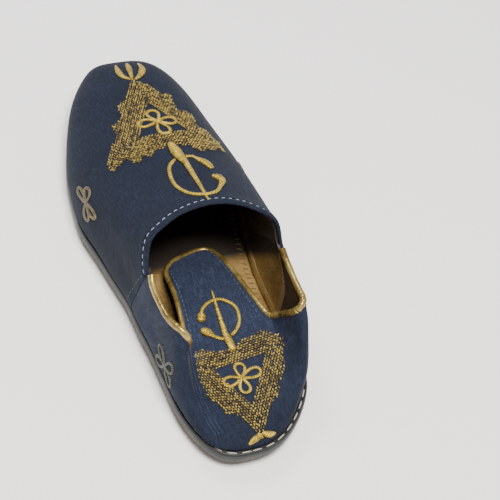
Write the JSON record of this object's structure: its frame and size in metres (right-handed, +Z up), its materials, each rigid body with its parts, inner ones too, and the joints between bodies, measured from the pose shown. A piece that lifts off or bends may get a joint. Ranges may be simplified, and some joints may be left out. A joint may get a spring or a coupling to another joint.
{
  "type": "babouche slipper",
  "caption": "Left slipper with a round-toed closed vamp, a heel panel folded flat inside with a long tab, bound edges and a low stitched cup sole.",
  "frame": {"origin": "on the floor, under the middle of the shoe's bounding box", "axes": "+Y from heel to toe, +Z up, +X to the inner side of the foot"},
  "size_m": [0.0922, 0.257, 0.0642],
  "materials": {
    "outsole": "matt moulded rubber",
    "cup_sole": "smooth moulded rubber, slightly shiny",
    "insole": "matt leather",
    "upper": "indigo denim twill",
    "piping": "metallic gold leather"
  },
  "bodies": {
    "root": {"outsole": "outsole", "cup_sole": "cup_sole", "insole": "insole", "upper": "upper", "piping": "piping"}
  },
  "joints": []
}
